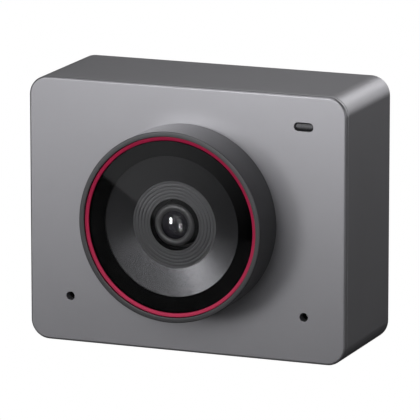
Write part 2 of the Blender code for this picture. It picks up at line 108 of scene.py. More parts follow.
def fillet_steps(radius, n=6):
    """(inset, depth) pairs of a quarter round that starts on a face and turns into a side."""
    return [(radius * (1 - math.sin(math.radians(90 * k / n))), radius * (1 - math.cos(math.radians(90 * k / n))))
            for k in range(n + 1)]


# ------------------------------------------------------------------ mesh builders
def make_object(name, verts, faces, mat=None):
    mesh = bpy.data.meshes.new(name)
    mesh.from_pydata([(x * MM, y * MM, z * MM) for x, y, z in verts], [], faces)
    bm = bmesh.new()
    bm.from_mesh(mesh)
    bmesh.ops.remove_doubles(bm, verts=bm.verts, dist=1e-8)
    bmesh.ops.recalc_face_normals(bm, faces=bm.faces)
    bm.to_mesh(mesh)
    bm.free()
    obj = bpy.data.objects.new(name, mesh)
    scene.collection.objects.link(obj)
    if mat is not None:
        mesh.materials.append(mat)
    return obj


def loft(name, rings, mat=None, closed=False):
    """Quads between rings of equal length; the two end rings are capped unless the loft closes on itself."""
    n = len(rings[0])
    verts = [p for ring in rings for p in ring]
    faces = []
    pairs = list(zip(range(len(rings) - 1), range(1, len(rings))))
    if closed:
        pairs.append((len(rings) - 1, 0))
    for a, b in pairs:
        for i in range(n):
            j = (i + 1) % n
            faces.append((a * n + i, a * n + j, b * n + j, b * n + i))
    if not closed:
        faces.append(tuple(range(n)))
        faces.append(tuple((len(rings) - 1) * n + i for i in range(n)))
    return make_object(name, verts, faces, mat)


def lathe(name, profile, mat=None, steps=160, solid=False, centre=(0.0, LENS_Z), upright=False, base_y=PANEL_Y):
    """A turned shape from (radius, height) points; height runs forward along the lens axis, or up if upright."""
    verts, faces, index = [], [], []
    for r, h in profile:
        row = []
        for k in range(1 if r < 1e-9 else steps):
            a = 2 * math.pi * k / steps
            u, v = r * math.cos(a), r * math.sin(a)
            row.append(len(verts))
            verts.append((centre[0] + u, centre[1] + v, h) if upright else (centre[0] + u, base_y - h, centre[1] + v))
        index.append(row)
    rows = list(zip(index, index[1:])) + ([] if solid else [(index[-1], index[0])])
    for a, b in rows:
        if len(a) == 1 and len(b) == 1:
            continue
        for k in range(steps):
            m = (k + 1) % steps
            if len(a) == 1:
                faces.append((a[0], b[k], b[m]))
            elif len(b) == 1:
                faces.append((a[k], b[0], a[m]))
            else:
                faces.append((a[k], b[k], b[m], a[m]))
    return make_object(name, verts, faces, mat)


def boolean(obj, cutters, operation="DIFFERENCE"):
    for cutter in cutters:
        mod = obj.modifiers.new("cut", "BOOLEAN")
        mod.operation, mod.solver, mod.object = operation, "EXACT", cutter
    bpy.context.view_layer.update()
    graph = bpy.context.evaluated_depsgraph_get()
    mesh = bpy.data.meshes.new_from_object(obj.evaluated_get(graph))
    old = obj.data
    obj.modifiers.clear()
    obj.data = mesh
    bpy.data.meshes.remove(old)
    for cutter in cutters:
        data = cutter.data
        bpy.data.objects.remove(cutter)
        bpy.data.meshes.remove(data)
    return obj


def hole(name, radius, x, z, depth, mouth=0.05, steps=48):
    """A round cutter into the front face, with a small round at its mouth."""
    prof = [(0, 1.0), (radius + mouth, 1.0)] + [(radius + i, -d) for i, d in fillet_steps(mouth, 5)] \
        + [(radius, -depth), (0, -depth)]
    return lathe(name, prof, steps=steps, solid=True, centre=(x, z))


def pill_hole(name, w, h, x, z, face_b, depth, mouth, rear=False, n=14):
    sign = -1 if rear else 1
    rings = [at_depth(pill(w + 2 * mouth, h + 2 * mouth, n), face_b - sign * 1.0, x, z)]
    rings += [at_depth(pill(w + 2 * i, h + 2 * i, n), face_b + sign * d, x, z) for i, d in fillet_steps(mouth, 5)]
    rings += [at_depth(pill(w, h, n), face_b + sign * depth, x, z)]
    return loft(name, rings)


def dress(obj, body, *nodes, slot=None, angle=28.0):
    """Smooth shading with crisp edges, then puts the piece under its body and hides the CAD nodes it stands for."""
    obj.data.shade_smooth()
    obj.data.set_sharp_from_angle(angle=math.radians(angle))
    mod = obj.modifiers.new("weighted_normals", "WEIGHTED_NORMAL")
    mod.keep_sharp = True
    mod.weight = 50
    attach(obj, body)
    if nodes:
        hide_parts(*nodes)
    return obj


# ------------------------------------------------------------------ materials
def new_material(name):
    mat = bpy.data.materials.new(name)
    mat.use_nodes = True
    tree = mat.node_tree
    return mat, tree.nodes, tree.links, tree.nodes["Principled BSDF"]


def noise(nodes, links, coords, size_mm, detail=3.0, rough=0.55, stretch=None):
    """A noise whose features are about size_mm across."""
    tex = nodes.new("ShaderNodeTexNoise")
    tex.inputs["Scale"].default_value = 1.0 / (size_mm * MM)
    tex.inputs["Detail"].default_value = detail
    tex.inputs["Roughness"].default_value = rough
    source = coords
    if stretch:
        mapping = nodes.new("ShaderNodeMapping")
        mapping.inputs["Scale"].default_value = stretch
        links.new(coords, mapping.inputs["Vector"])
        source = mapping.outputs["Vector"]
    links.new(source, tex.inputs["Vector"])
    return tex.outputs["Fac"]


def ranged(nodes, links, source, low, high, from_low=0.3, from_high=0.7):
    node = nodes.new("ShaderNodeMapRange")
    node.inputs["From Min"].default_value = from_low
    node.inputs["From Max"].default_value = from_high
    node.inputs["To Min"].default_value = low
    node.inputs["To Max"].default_value = high
    links.new(source, node.inputs["Value"])
    return node.outputs["Result"]


def blend_colour(nodes, links, fac, a, b):
    node = nodes.new("ShaderNodeMix")
    node.data_type = "RGBA"
    node.inputs["A"].default_value = (*a, 1.0)
    node.inputs["B"].default_value = (*b, 1.0)
    links.new(fac, node.inputs["Factor"])
    return node.outputs["Result"]


def bump(nodes, links, height, distance_mm, strength=1.0, normal=None):
    node = nodes.new("ShaderNodeBump")
    node.inputs["Strength"].default_value = strength
    node.inputs["Distance"].default_value = distance_mm * MM
    links.new(height, node.inputs["Height"])
    if normal is not None:
        links.new(normal, node.inputs["Normal"])
    return node.outputs["Normal"]


def surface(name, colour, roughness, metallic=0.0, spread=0.06, grain_mm=0.09, grain_depth=0.0012, rough_spread=0.05,
            patch_mm=6.0, stretch=None, specular=0.5):
    """A general procedural finish: soft patches of tone, a fine grain in the bump, and uneven roughness."""
    mat, nodes, links, bsdf = new_material(name)
    coords = nodes.new("ShaderNodeTexCoord").outputs["Object"]
    patch = noise(nodes, links, coords, patch_mm, 4.0, 0.6, stretch)
    grain = noise(nodes, links, coords, grain_mm, 2.0, 0.5, stretch)
    low = tuple(c * (1 - spread) for c in colour)
    high = tuple(min(1.0, c * (1 + spread)) for c in colour)
    links.new(blend_colour(nodes, links, ranged(nodes, links, patch, 0, 1), low, high), bsdf.inputs["Base Color"])
    links.new(ranged(nodes, links, grain, roughness - rough_spread, roughness + rough_spread), bsdf.inputs["Roughness"])
    links.new(bump(nodes, links, grain, grain_depth), bsdf.inputs["Normal"])
    bsdf.inputs["Metallic"].default_value = metallic
    bsdf.inputs["Specular IOR Level"].default_value = specular
    mat.diffuse_color = (*colour, 1.0)
    return mat


BODY_GREY = surface("satin_grey_anodised", (0.396, 0.392, 0.416), 0.45, 0.85, spread=0.02, grain_mm=0.10,
                    grain_depth=0.0008, rough_spread=0.03, patch_mm=14.0)


def bezel_finish():
    """Dark anodised metal, polished on the wall and satin on the rim's front face."""
    mat, nodes, links, bsdf = new_material("dark_bezel_anodised")
    coords = nodes.new("ShaderNodeTexCoord").outputs["Object"]
    split = nodes.new("ShaderNodeSeparateXYZ")
    links.new(coords, split.inputs["Vector"])
    links.new(ranged(nodes, links, split.outputs["Y"], 0.42, 0.18, (PANEL_Y - 7.40) * MM, (PANEL_Y - 7.32) * MM),
              bsdf.inputs["Roughness"])
    patch = noise(nodes, links, coords, 9.0, 4.0, 0.6)
    links.new(blend_colour(nodes, links, ranged(nodes, links, patch, 0, 1), (0.084, 0.084, 0.088), (0.092, 0.092, 0.096)),
              bsdf.inputs["Base Color"])
    links.new(bump(nodes, links, noise(nodes, links, coords, 0.08, 2.0, 0.5), 0.0003), bsdf.inputs["Normal"])
    bsdf.inputs["Metallic"].default_value = 0.7
    mat.diffuse_color = (0.088, 0.088, 0.092, 1.0)
    return mat


BEZEL_GREY = bezel_finish()
ACCENT_RED = surface("red_anodised", (0.43, 0.0045, 0.058), 0.50, 0.30, spread=0.05, grain_mm=0.12, grain_depth=0.0008)
MASK_BLACK = surface("glass_border_print", (0.0010, 0.0010, 0.0011), 0.8, 0.0, spread=0.1, grain_mm=0.15,
                     grain_depth=0.0004, specular=0.0)
BAFFLE_GREY = surface("baffle_spun_satin", (0.088, 0.088, 0.093), 0.21, 0.85, spread=0.04, grain_mm=0.16,
                      grain_depth=0.0004, rough_spread=0.03, patch_mm=3.0)
STEP_GREY = surface("baffle_step_matt", (0.105, 0.105, 0.110), 0.40, 0.7, spread=0.04, grain_mm=0.12,
                    grain_depth=0.0006, rough_spread=0.03, patch_mm=3.0)
# near-black and nearly unreflecting: a black bore, made far darker than black plastic as painted shade for the deep gap
# round the lens
BORE_BLACK_AND_SHADE = surface("bore_black_and_painted_shade", (0.0008, 0.0008, 0.0008), 0.9, 0.0, spread=0.15, grain_mm=0.08, grain_depth=0.0020,
                     specular=0.05)
BARREL_GREY = surface("lens_barrel_satin", (0.075, 0.075, 0.078), 0.42, 0.5, spread=0.06, grain_mm=0.1,
                      grain_depth=0.0006)
# painted shade: the actuator can and focus springs get a near-black colour that stands in for the shade in the gap
# round the lens
SPRING_SHADE_DARK = surface("spring_strip_painted_shade_dark", (0.006, 0.006, 0.007), 0.6, 0.2, spread=0.1, grain_mm=0.1,
                       grain_depth=0.0006, specular=0.2)
REAR_PLASTIC = surface("rear_cover_textured_plastic", (0.022, 0.022, 0.024), 0.58, 0.0, spread=0.10, grain_mm=0.16,
                       grain_depth=0.0080, rough_spread=0.06, patch_mm=5.0)
BLACK_PLASTIC = surface("moulded_black_plastic", (0.014, 0.014, 0.015), 0.45, 0.0, spread=0.1, grain_mm=0.2,
                        grain_depth=0.0020)
CHIP_EPOXY = surface("chip_epoxy", (0.020, 0.020, 0.022), 0.6, 0.0, spread=0.15, grain_mm=0.06, grain_depth=0.0030)
# black rubber, darkened further as painted shade inside the mic holes and the gap round the lens
RUBBER_AND_SHADE = surface("black_rubber_and_painted_shade", (0.004, 0.004, 0.004), 0.80, 0.0, spread=0.15, grain_mm=0.12,
                 grain_depth=0.0030, specular=0.15)
STEEL = surface("bright_steel", (0.52, 0.52, 0.53), 0.28, 1.0, spread=0.06, grain_mm=0.05, grain_depth=0.0010,
                stretch=(1.0, 0.12, 1.0))
NICKEL = surface("nickel_plate", (0.58, 0.55, 0.50), 0.2, 1.0, spread=0.04, grain_mm=0.08, grain_depth=0.0006)
BRASS = surface("turned_brass", (0.60, 0.47, 0.25), 0.30, 1.0, spread=0.08, grain_mm=0.05, grain_depth=0.0010,
                stretch=(1.0, 1.0, 6.0))
COPPER = surface("copper_wire", (0.62, 0.27, 0.12), 0.32, 1.0, spread=0.10, grain_mm=0.06, grain_depth=0.0030,
                 stretch=(1.0, 8.0, 1.0))
GOLD = surface("gold_contacts", (0.80, 0.52, 0.18), 0.25, 1.0, spread=0.05, grain_mm=0.05, grain_depth=0.0005)
PLAIN_ALU = surface("machined_aluminium", (0.58, 0.58, 0.59), 0.36, 1.0, spread=0.05, grain_mm=0.06,
                    grain_depth=0.0012, stretch=(0.15, 1.0, 1.0))
BLACK_ALU = surface("black_anodised_sink", (0.03, 0.03, 0.032), 0.42, 0.6, spread=0.08, grain_mm=0.08,
                    grain_depth=0.0012)
BOARD = surface("board_solder_mask", (0.010, 0.050, 0.028), 0.38, 0.0, spread=0.18, grain_mm=0.5, grain_depth=0.0040,
                patch_mm=2.0)
PAD_GREY = surface("thermal_silicone", (0.30, 0.31, 0.36), 0.8, 0.0, spread=0.1, grain_mm=0.1, grain_depth=0.0040)


def clear_glass(name, tint, roughness, ior):
    """Flat cover glass: reflects by Fresnel and lets the rest straight through."""
    mat, nodes, links, bsdf = new_material(name)
    coords = nodes.new("ShaderNodeTexCoord").outputs["Object"]
    smear = noise(nodes, links, coords, 5.0, 4.0, 0.6)
    links.new(blend_colour(nodes, links, ranged(nodes, links, smear, 0, 1), tint, tuple(c * 0.94 for c in tint)),
              bsdf.inputs["Base Color"])
    links.new(ranged(nodes, links, smear, roughness * 0.6, roughness * 1.6), bsdf.inputs["Roughness"])
    fres = nodes.new("ShaderNodeFresnel")
    fres.inputs["IOR"].default_value = ior
    links.new(fres.outputs["Fac"], bsdf.inputs["Alpha"])
    bsdf.inputs["Metallic"].default_value = 1.0
    mat.diffuse_color = (*tint, 0.2)
    return mat


def lens_glass(name, tint, coat_tint):
    """Coated optical glass, bent light and a coloured reflection."""
    mat, nodes, links, bsdf = new_material(name)
    coords = nodes.new("ShaderNodeTexCoord").outputs["Object"]
    dust = noise(nodes, links, coords, 0.7, 4.0, 0.6)
    links.new(blend_colour(nodes, links, ranged(nodes, links, dust, 0, 1), tint, tuple(c * 0.96 for c in tint)),
              bsdf.inputs["Base Color"])
    links.new(ranged(nodes, links, dust, 0.0, 0.03), bsdf.inputs["Roughness"])
    bsdf.inputs["Transmission Weight"].default_value = 1.0
    bsdf.inputs["IOR"].default_value = 1.25             # low, as an anti-reflection coat leaves little to reflect
    bsdf.inputs["Specular Tint"].default_value = (*coat_tint, 1.0)
    mat.diffuse_color = (*tint, 0.3)
    return mat


COVER_GLASS = clear_glass("cover_glass_coated", (0.93, 0.94, 0.96), 0.03, 1.40)
LENS_GLASS = lens_glass("coated_lens_glass", (0.55, 0.55, 0.58), (1.0, 1.0, 1.0))


def smoked_lens(name, tint, opacity):
    """Dark coated lens face: glossy, and part of the light goes straight through."""
    mat, nodes, links, bsdf = new_material(name)
    coords = nodes.new("ShaderNodeTexCoord").outputs["Object"]
    dust = noise(nodes, links, coords, 0.7, 4.0, 0.6)
    links.new(blend_colour(nodes, links, ranged(nodes, links, dust, 0, 1), tint, tuple(c * 0.85 for c in tint)),
              bsdf.inputs["Base Color"])
    links.new(ranged(nodes, links, dust, 0.04, 0.09), bsdf.inputs["Roughness"])
    bsdf.inputs["Alpha"].default_value = opacity
    mat.diffuse_color = (*tint, opacity)
    return mat


FRONT_COAT = smoked_lens("front_lens_face", (0.0034, 0.0030, 0.0046), 0.35)
REAR_COAT = smoked_lens("front_lens_back", (0.0034, 0.0030, 0.0046), 0.17)
FILTER_GLASS = lens_glass("infrared_filter_glass", (0.45, 0.75, 0.85), (1.0, 0.6, 0.75))


def guide_acrylic():
    """Smoked translucent acrylic, with a painted highlight: lighter base colour in a band along its middle."""
    mat, nodes, links, bsdf = new_material("smoked_light_guide")
    coords = nodes.new("ShaderNodeTexCoord").outputs["Object"]
    split = nodes.new("ShaderNodeSeparateXYZ")
    links.new(coords, split.inputs["Vector"])
    highlight_band = nodes.new("ShaderNodeMapRange")
    highlight_band.interpolation_type = "SMOOTHSTEP"
    highlight_band.inputs["From Min"].default_value = 0.42 * MM
    highlight_band.inputs["From Max"].default_value = 0.05 * MM
    away = nodes.new("ShaderNodeMath")
    away.operation = "SUBTRACT"
    away.inputs[1].default_value = (LED_Z + 0.10) * MM
    links.new(split.outputs["Z"], away.inputs[0])
    size = nodes.new("ShaderNodeMath")
    size.operation = "ABSOLUTE"
    links.new(away.outputs["Value"], size.inputs[0])
    links.new(size.outputs["Value"], highlight_band.inputs["Value"])
    # painted highlight: the base colour turns lighter in a narrow band just above the guide's middle
    links.new(blend_colour(nodes, links, highlight_band.outputs["Result"], (0.012, 0.012, 0.014), (0.150, 0.150, 0.160)),
              bsdf.inputs["Base Color"])
    haze = noise(nodes, links, coords, 0.2, 3.0, 0.5)
    links.new(ranged(nodes, links, haze, 0.22, 0.36), bsdf.inputs["Roughness"])
    mat.diffuse_color = (0.1, 0.1, 0.1, 1.0)
    return mat


GUIDE = guide_acrylic()

# ------------------------------------------------------------------ front panel
rings = [body_ring(i, b) for i, b in fillet_steps(EDGE_R, 7)]
rings += [body_ring(i, b) for i, b in ((0, 0.84), (0.06, 0.9), (1.75, 0.9), (1.75, 2.9), (2.75, 2.9), (2.75, 1.5))]
panel = loft("front_panel_skin", rings, BODY_GREY)
boolean(panel, [lathe(f"boss{i}", [(0, -1.2), (1.45, -1.2), (1.45, -6.0), (0, -6.0)], steps=32, solid=True, centre=c)
                for i, c in enumerate(CASE_SCREWS)], "UNION")
boolean(panel, [lathe(f"bosshole{i}", [(0, -2.0), (0.75, -2.0), (0.75, -6.5), (0, -6.5)], steps=24, solid=True, centre=c)
                for i, c in enumerate(CASE_SCREWS)]
        + [hole("lenshole", 14.75, 0, LENS_Z, 4.0, 0.12, 160),
           hole("mic_l", MIC_R, -MIC_X, MIC_Z, 4.0), hole("mic_r", MIC_R, MIC_X, MIC_Z, 4.0),
           pill_hole("led", LED_W, LED_H, LED_X, LED_Z, 0.0, 4.0, 0.05)])
dress(panel, BODY, "front_panel", slot="satin_grey")

# ------------------------------------------------------------------ housing sleeve
lb0, lb1 = COVER_B0 - 1.3, COVER_B0 - 0.1
steps = [(0.06, 1.02), (0.0, 1.08), (0.0, 8.0), (0.0, 14.0)]
steps += [(i, BODY_D - d) for i, d in reversed(fillet_steps(REAR_R, 8))]
steps += [(1.54, BODY_D), (1.6, BODY_D - 0.06), (1.6, lb1), (2.5, lb1), (2.5, lb0), (1.6, lb0), (1.6, 1.08), (1.54, 1.02)]
housing = loft("housing_skin", [body_ring(i, b) for i, b in steps], BODY_GREY, closed=True)
boolean(housing, [lathe("tripodhole", [(0, -3.0), (4.95, -3.0), (4.95, 0.0), (4.8, 0.15), (4.8, 3.5), (0, 3.5)], steps=96,
                        solid=True, centre=(0.0, 4.0), upright=True)])
dress(housing, BODY, "housing", slot="satin_grey")

# ------------------------------------------------------------------ tripod insert with its thread
PITCH, TURN = 1.27, 96
verts, faces = [], []
rows = []
for level in range(91):
    h = 6.15 * level / 90
    row = []
    for k in range(TURN):
        phase = (h / PITCH - k / TURN) % 1.0
        ridge = 1 - abs(2 * phase - 1)                 # triangular thread, softened at root and crest
        ridge = min(max((ridge - 0.12) / 0.76, 0.0), 1.0)
        r = 3.175 - 0.50 * ridge
        r = max(r, 3.55 - h) if h < 0.9 else r         # lead-in chamfer
        a = 2 * math.pi * k / TURN
        row.append(len(verts))
        verts.append((r * math.cos(a), 4.0 + r * math.sin(a), h))
    rows.append(row)
outside = rounded([(3.55, 0.0), (4.7, 0.0, 0.15), (4.7, 1.7), (6.4, 1.7, 0.1), (6.4, 3.0, 0.1), (4.6, 3.0), (4.6, 7.2, 0.3),
                   (0.0, 7.2)], closed=False)[1:-1]
for r, h in outside:
    row = []
    for k in range(TURN):
        a = 2 * math.pi * k / TURN
        row.append(len(verts))
        verts.append((r * math.cos(a), 4.0 + r * math.sin(a), h))
    rows.insert(0, row)
for a, b in zip(rows, rows[1:]):
    for k in range(TURN):
        m = (k + 1) % TURN
        faces.append((a[k], a[m], b[m], b[k]))
faces.append(tuple(rows[0]))
faces.append(tuple(rows[-1]))
insert = make_object("tripod_insert_threaded", verts, faces, BRASS)
dress(insert, BODY, "tripod_insert", slot="brass", angle=40)

# ------------------------------------------------------------------ rear cover
COVER_W, COVER_H = BODY_W - 3.44, BODY_H - 3.44


def cover_ring(inset, b):
    return at_depth(rrect(COVER_W - 2 * inset, COVER_H - 2 * inset, max(1.53 - inset, 0.2)), b)


rings = [cover_ring(0.0, COVER_B0)] + [cover_ring(i, COVER_B1 - d) for i, d in reversed(fillet_steps(0.22, 5))]
cover = loft("rear_cover_skin", rings, REAR_PLASTIC)
cuts = [pill_hole("usb_hole", 9.5, 3.8, 0, USB_Z, COVER_B1, 3.0, 0.25, rear=True)]
cuts += [pill_hole(f"vent{i}", 26.0, 1.3, 0, 21.4 + 3.0 * i, COVER_B1, 3.0, 0.18, rear=True, n=10) for i in range(6)]
cuts += [lathe(f"sink{i}", [(0, 0.6 - COVER_B0), (0.85, 0.6 - COVER_B0), (0.85, 0.78 - COVER_B1), (1.42, 0.08 - COVER_B1),
                            (1.5, -0.12 - COVER_B1), (0, -0.12 - COVER_B1)], steps=40, solid=True, centre=c)
         for i, c in enumerate(CASE_SCREWS)]
boolean(cover, cuts)
dress(cover, BODY, "rear_cover", slot="black_plastic")

# ------------------------------------------------------------------ case screws with a six-lobe socket
for number, (x, z) in enumerate(CASE_SCREWS, 1):
    top = COVER_B1 - 0.1
    profile = rounded([(0.0, -top), (1.25, -top, 0.06), (0.68, 0.65 - top), (0.68, -2.9), (0.45, -2.5), (0.0, -2.5)], n=4,
                      closed=False)
    screw = lathe(f"case_screw_{number}_socket", profile, STEEL, steps=64, solid=True, centre=(x, z))
    lobes = [(0.50 + 0.075 * math.cos(6 * t), t) for t in (2 * math.pi * k / 72 for k in range(72))]
    star = [[(x + s * r * math.cos(t), PANEL_Y + b, z + s * r * math.sin(t)) for r, t in lobes]
            for s, b in ((1.12, top + 0.4), (1.12, top), (1.0, top - 0.08), (0.94, top - 0.5), (0.5, top - 0.65))]
    boolean(screw, [loft("star", star)])
    dress(screw, BODY, f"case_screw_{number}", slot="steel")

# ------------------------------------------------------------------ lens bezel, accent ring, glass, border, baffle
bezel = lathe("lens_bezel_turned",
              rounded([(15.1, 6.2), (15.1, BEZEL_OUT, 0.10), (15.95, BEZEL_OUT, 0.16), (15.95, 0.06, 0.05), (14.65, 0.06),
                       (14.65, -3.3, 0.15), (12.2, -3.3, 0.15), (12.2, 3.55, 0.05), (13.3, 3.55), (13.3, 6.2, 0.05)], n=6),
              BEZEL_GREY, steps=240)
boolean(bezel, [lathe(f"bs{i}", [(0, -0.4), (0.6, -0.4), (0.6, -3.8), (0, -3.8)], steps=24, solid=True,
                      centre=(13.42 * math.cos(math.radians(a)), LENS_Z + 13.42 * math.sin(math.radians(a))))
                for i, a in enumerate((90, 210, 330))])
dress(bezel, BODY, "lens_bezel", slot="dark_bezel")
accent = lathe("accent_ring_turned",
               rounded([(15.04, 6.27), (15.04, 7.08, 0.05), (14.42, 6.95, 0.05), (14.42, 6.27)], n=4), ACCENT_RED, steps=240)
dress(accent, BODY, "accent_ring", slot="red_trim")
glass = lathe("cover_glass_disc",
              rounded([(0.0, 6.92), (14.36, 6.92, 0.06), (14.36, 6.52, 0.06), (0.0, 6.52)], n=3, closed=False), COVER_GLASS,
              steps=240, solid=True)
glass.data.materials.append(MASK_BLACK)
for face in glass.data.polygons:                        # blackened edge
    if math.hypot(face.center.x, face.center.z - LENS_Z * MM) / MM > 14.30:
        face.material_index = 1
dress(glass, BODY, "cover_glass", slot="cover_glass")
border = lathe("glass_border_ring", rounded([(11.74, 6.48, 0.02), (14.36, 6.48), (14.36, 6.37), (11.74, 6.37)], n=2),
               MASK_BLACK, steps=240)
dress(border, BODY, "glass_mask", slot="black_plastic")

profile = [(13.2, 3.65), (13.2, 6.14, 0.05), (12.3, 6.14, 0.2), (7.3, 5.03, 0.05)]
for k in range(5):                                      # concentric grooves in the flat round the lens opening
    r, h = 7.0 - 0.56 * k, 5.03
    profile += [(r, h, 0.03), (r - 0.06, h - 0.07), (r - 0.12, h, 0.03)]
profile += [(4.36, 5.03, 0.03), (4.31, 4.98), (4.31, 3.65), (7.7, 3.95), (11.7, 4.8, 0.1), (11.9, 3.65)]
dish = lathe("baffle_dish_grooved", rounded(profile, n=3), BAFFLE_GREY, steps=240)
dish.data.materials.append(STEP_GREY)
dish.data.materials.append(BORE_BLACK_AND_SHADE)
for face in dish.data.polygons:                         # satin slope, matt steps, and near-black inside the lens opening: a black bore darkened further as painted shade for the gap
    reach = math.hypot(face.center.x, face.center.z - LENS_Z * MM) / MM
    front = (PANEL_Y * MM - face.center.y) / MM
    if reach < 7.29:
        face.material_index = 1 if front > 4.96 else 2
dress(dish, BODY, "baffle_dish", slot="baffle", angle=50)

# ------------------------------------------------------------------ lens barrel and front lens
barrel = lathe("lens_barrel_lipped",
               [(2.36, 2.3)] + arc(2.92, 4.55, 0.70, 143, 34, 18)
               + rounded([(3.5, 4.9), (3.5, 2.0), (3.95, 2.0, 0.1), (3.95, -2.1), (3.0, -2.1), (3.0, 2.3)], n=5, closed=False)[1:],
               BARREL_GREY, steps=128)
barrel.data.materials.append(BORE_BLACK_AND_SHADE)
for face in barrel.data.polygons:                       # black below the lip, darkened further as painted shade for the gap round the lens
    if (PANEL_Y * MM - face.center.y) / MM < 4.7:
        face.material_index = 1
dress(barrel, FOCUS, "lens_barrel", slot="black_plastic", angle=40)
front, rear = [], []
for k in range(25):                                     # biconvex, its front bulging out of the barrel
    r = 2.30 * k / 24
    front.append((r, 5.5 - (3.8 - math.sqrt(3.8 ** 2 - r * r))))
    rear.append((r, 3.6 + (4.2 - math.sqrt(4.2 ** 2 - r * r))))
lens = lathe("front_lens_dome", front + rear[::-1], FRONT_COAT, steps=160, solid=True)
lens.data.materials.append(REAR_COAT)
for face in lens.data.polygons:
    if (PANEL_Y * MM - face.center.y) / MM < 4.6 and face.normal.y > 0.5:
        face.material_index = 1
dress(lens, FOCUS, "front_lens", slot="lens_glass", angle=40)

# ------------------------------------------------------------------ indicator light guide
gw, gh = LED_W - 0.14, LED_H - 0.14
rings = [at_depth(pill(gw - 2 * i, gh - 2 * i), 0.30 + d, LED_X, LED_Z) for i, d in fillet_steps(0.30, 6)]
rings += [at_depth(pill(w, h), b, LED_X, LED_Z) for w, h, b in ((gw, gh, 1.58), (3.9, 2.2, 1.58), (3.9, 2.2, 2.4), (gw, gh, 2.4),
                                                               (gw, gh, 8.6))]
guide = loft("light_guide_domed", rings, GUIDE)
dress(guide, BODY, "light_guide", slot="clear_plastic")

# ------------------------------------------------------------------ USB-C socket
tip = COVER_B1 - 0.15
rings = [at_depth(pill(9.0, 3.3), 10.45, 0, USB_Z), at_depth(pill(9.0, 3.3), tip - 0.2, 0, USB_Z)]
rings += [at_depth(pill(9.0 - 2 * i, 3.3 - 2 * i), tip - d, 0, USB_Z) for i, d in ((0.05, 0.05), (0.13, 0.0), (0.2, 0.03), (0.3, 0.2))]
rings += [at_depth(pill(8.4, 2.7), 11.2, 0, USB_Z)]
dress(loft("usb_shell_drawn", rings, STEEL), BODY, "usb_shell", slot="steel")


def tongue_ring(w, h, b):
    return at_depth(rrect(w, h, min(w, h) * 0.22, 4), b, 0, USB_Z)


tongue = loft("usb_tongue_moulded", [tongue_ring(6.7, 0.7, 11.25), tongue_ring(6.7, 0.7, 14.2), tongue_ring(6.6, 0.62, 14.25),
                                     tongue_ring(6.6, 0.62, 20.4), tongue_ring(6.3, 0.42, 20.65)], BLACK_PLASTIC)
dress(tongue, BODY, "usb_tongue", slot="black_plastic")
verts, faces = [], []
for side in (1, -1):
    for k in range(12):
        x = -2.75 + 0.5 * k
        z0, z1 = USB_Z + side * 0.305, USB_Z + side * 0.335
        y0, y1 = PANEL_Y + 15.8, PANEL_Y + (20.1 if k % 4 else 20.25)
        start = len(verts)
        verts += [(x + dx, y, z) for z in (z0, z1) for y, dx in ((y0, -0.13), (y0, 0.13), (y1 - 0.15, 0.13), (y1, 0.06), (y1, -0.06), (y1 - 0.15, -0.13))]
        low, top = [start + i for i in range(6)], [start + 6 + i for i in range(6)]
        faces += [tuple(low), tuple(top)] + [(low[i], low[(i + 1) % 6], top[(i + 1) % 6], top[i]) for i in range(6)]
dress(make_object("usb_contacts", verts, faces, GOLD), BODY, slot="copper")

# ------------------------------------------------------------------ finishes for the CAD pieces that stay
finish_of = {
    "dust_gasket": RUBBER_AND_SHADE, "mic_boot_left": RUBBER_AND_SHADE, "mic_boot_right": RUBBER_AND_SHADE, "thermal_pad": PAD_GREY,
    # actuator can and focus springs: near-black painted shade for the lens gap; rubber parts: black rubber darkened as
    # painted shade
    "chassis": PLAIN_ALU, "heat_sink": BLACK_ALU, "actuator_can": SPRING_SHADE_DARK, "actuator_base": BLACK_PLASTIC,
    "focus_spring_front": SPRING_SHADE_DARK, "focus_spring_rear": SPRING_SHADE_DARK, "focus_coil": COPPER,
    "lens_carrier": BLACK_PLASTIC,
    "lens_element_2": LENS_GLASS, "lens_element_3": LENS_GLASS, "lens_retainer": BLACK_PLASTIC,
    "sensor_holder": BLACK_PLASTIC, "ir_filter": FILTER_GLASS, "image_sensor": CHIP_EPOXY, "sensor_board": BOARD,
    "connector_plug": BLACK_PLASTIC, "connector_socket": BLACK_PLASTIC, "main_board": BOARD, "processor": CHIP_EPOXY,
    "memory_chip": CHIP_EPOXY, "status_led": GUIDE, "microphone_left": STEEL, "microphone_right": STEEL,
}
for name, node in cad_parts.items():
    if node.hide_render:
        continue
    kind = finish_of.get(name)
    if kind is None:
        kind = NICKEL if name.startswith("focus_magnet") else STEEL
    node.data.materials.clear()
    node.data.materials.append(kind)

# ------------------------------------------------------------------ floor
verts, faces, n, half = [], [], 24, 1.6
for j in range(n + 1):
    for i in range(n + 1):
        verts.append((-half + 2 * half * i / n, -half + 2 * half * j / n, -0.00002))
for j in range(n):
    for i in range(n):
        a = j * (n + 1) + i
        faces.append((a, a + 1, a + n + 2, a + n + 1))
mesh = bpy.data.meshes.new("floor")
mesh.from_pydata(verts, [], faces)
floor = bpy.data.objects.new("floor", mesh)
scene.collection.objects.link(floor)
mat, nodes, links, bsdf = new_material("pale_floor")
bsdf.inputs["Base Color"].default_value = (0.025, 0.025, 0.025, 1.0)
bsdf.inputs["Roughness"].default_value = 0.9
white = nodes.new("ShaderNodeEmission")
white.inputs["Strength"].default_value = 1.0
path = nodes.new("ShaderNodeLightPath")
mix = nodes.new("ShaderNodeMixShader")
links.new(path.outputs["Is Camera Ray"], mix.inputs["Fac"])
links.new(bsdf.outputs["BSDF"], mix.inputs[1])
links.new(white.outputs["Emission"], mix.inputs[2])
links.new(mix.outputs["Shader"], nodes["Material Output"].inputs["Surface"])
mesh.materials.append(mat)

# ------------------------------------------------------------------ studio light
AIM = Vector((0.0, 0.0, 0.022))


